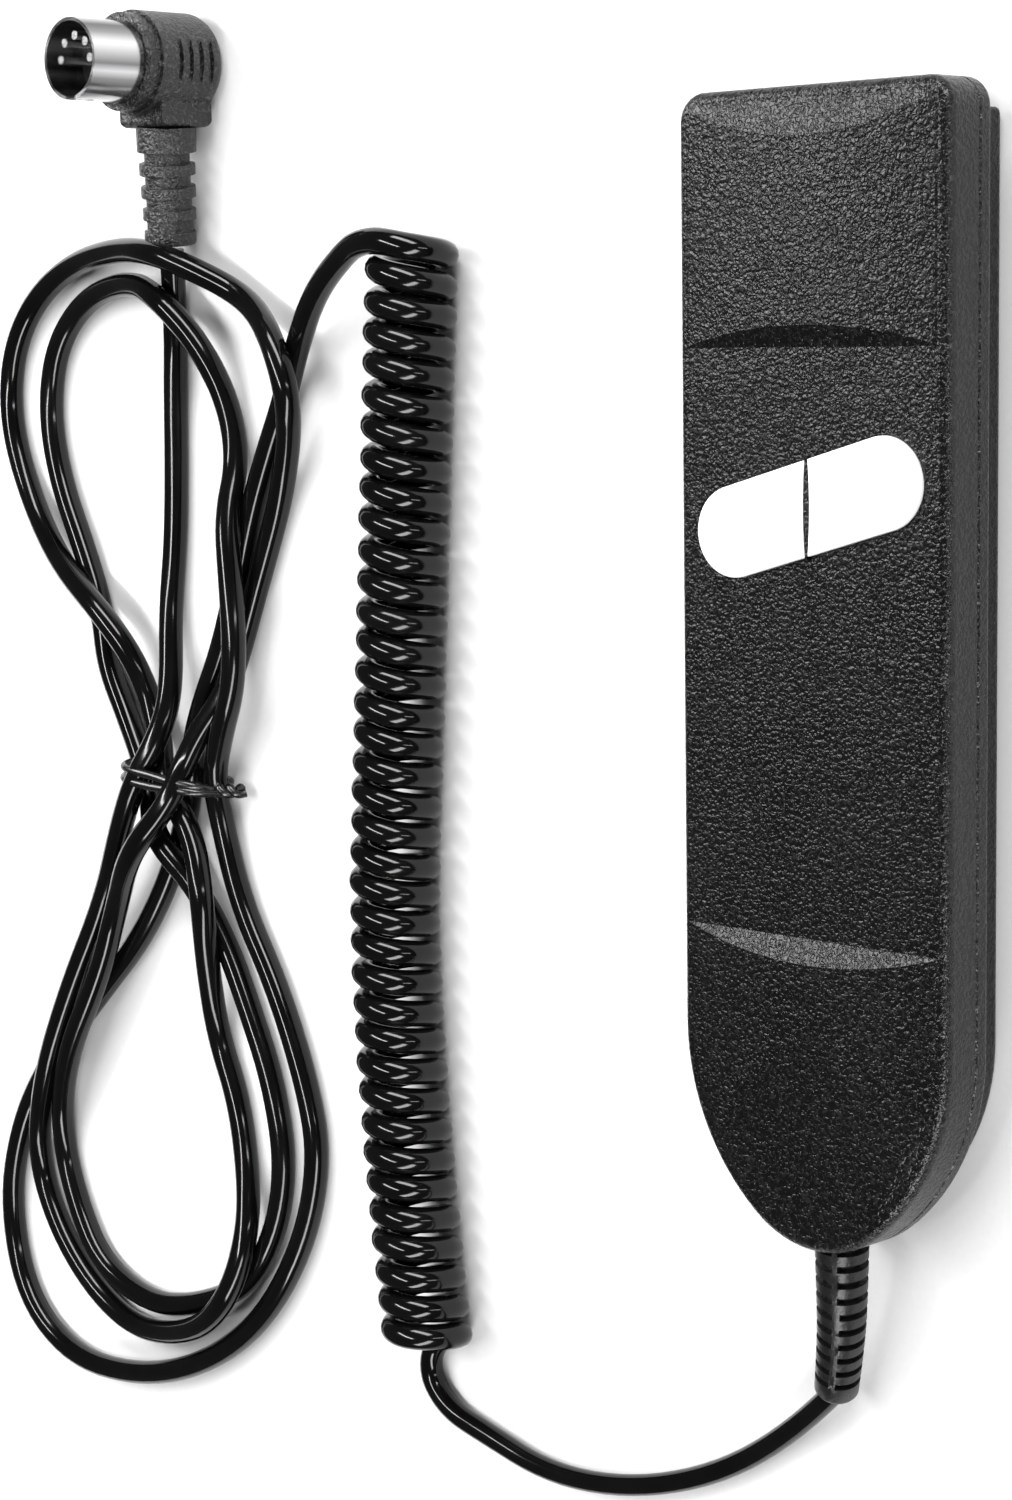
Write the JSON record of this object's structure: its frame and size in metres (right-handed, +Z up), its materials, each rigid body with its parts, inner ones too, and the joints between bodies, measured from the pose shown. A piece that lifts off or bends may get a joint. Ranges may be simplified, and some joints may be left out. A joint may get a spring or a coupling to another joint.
{
  "type": "corded hand control",
  "caption": "Slim oval-ended handset with slanted push buttons, a curly cord, a tied figure-eight hank of straight cord and a right-angle round plug.",
  "frame": {"origin": "under the middle of the handset, on the surface it lies on", "axes": "+Y along the handset towards its square top end, +Z up through its button face, +X to the right of the face"},
  "size_m": [0.2298, 0.2426, 0.0268],
  "materials": {
    "case_plastic": "fine spark-eroded grain, satin sheen on the edges",
    "button_white": "smooth white moulding",
    "switch_plastic": "plain moulded",
    "plunger_plastic": "plain moulded",
    "spring_steel": "bright wire",
    "board_laminate": "solder-masked laminate",
    "screw_steel": "zinc plated",
    "clamp_plastic": "plain moulded",
    "connector_plastic": "plain moulded",
    "cord_jacket": "glossy extruded vinyl jacket",
    "core_insulation": "thin extruded insulation",
    "boot_vinyl": "satin moulded vinyl",
    "tie_vinyl": "vinyl-coated twist tie",
    "plug_plastic": "fine grained moulding",
    "shield_chrome": "bright nickel plate",
    "insert_plastic": "plain moulded",
    "contact_nickel": "bright plated"
  },
  "bodies": {
    "handset": {"front_shell": "case_plastic", "rear_shell": "case_plastic", "left_switch": "switch_plastic", "right_switch": "switch_plastic", "left_spring": "spring_steel", "right_spring": "spring_steel", "switch_board": "board_laminate", "case_screws": "screw_steel", "board_screws": "screw_steel", "cord_clamp": "clamp_plastic", "clamp_screws": "screw_steel", "board_connector": "connector_plastic", "inner_cable": "cord_jacket", "core_wires": "core_insulation", "handset_boot": "boot_vinyl", "lead_cord": "cord_jacket", "curly_coil": "cord_jacket", "arch_cord": "cord_jacket", "tail_cord": "cord_jacket", "cord_hank": "cord_jacket", "hank_tie": "tie_vinyl", "plug_boot": "boot_vinyl", "plug_body": "plug_plastic", "plug_shell": "shield_chrome", "plug_insert": "insert_plastic", "plug_contacts": "contact_nickel"},
    "left_key": {"left_button": "button_white", "left_plunger": "plunger_plastic"},
    "right_key": {"right_button": "button_white", "right_plunger": "plunger_plastic"}
  },
  "joints": [
    {"name": "left_press", "type": "slide", "parent": "handset", "child": "left_key", "axis": [0, 0, -1], "range_m": [0, 0.001], "stiffness_N_per_m": 600, "springref_m": -0.001, "deforming": ["left_spring"]},
    {"name": "right_press", "type": "slide", "parent": "handset", "child": "right_key", "axis": [0, 0, -1], "range_m": [0, 0.001], "stiffness_N_per_m": 600, "springref_m": -0.001, "deforming": ["right_spring"]}
  ]
}
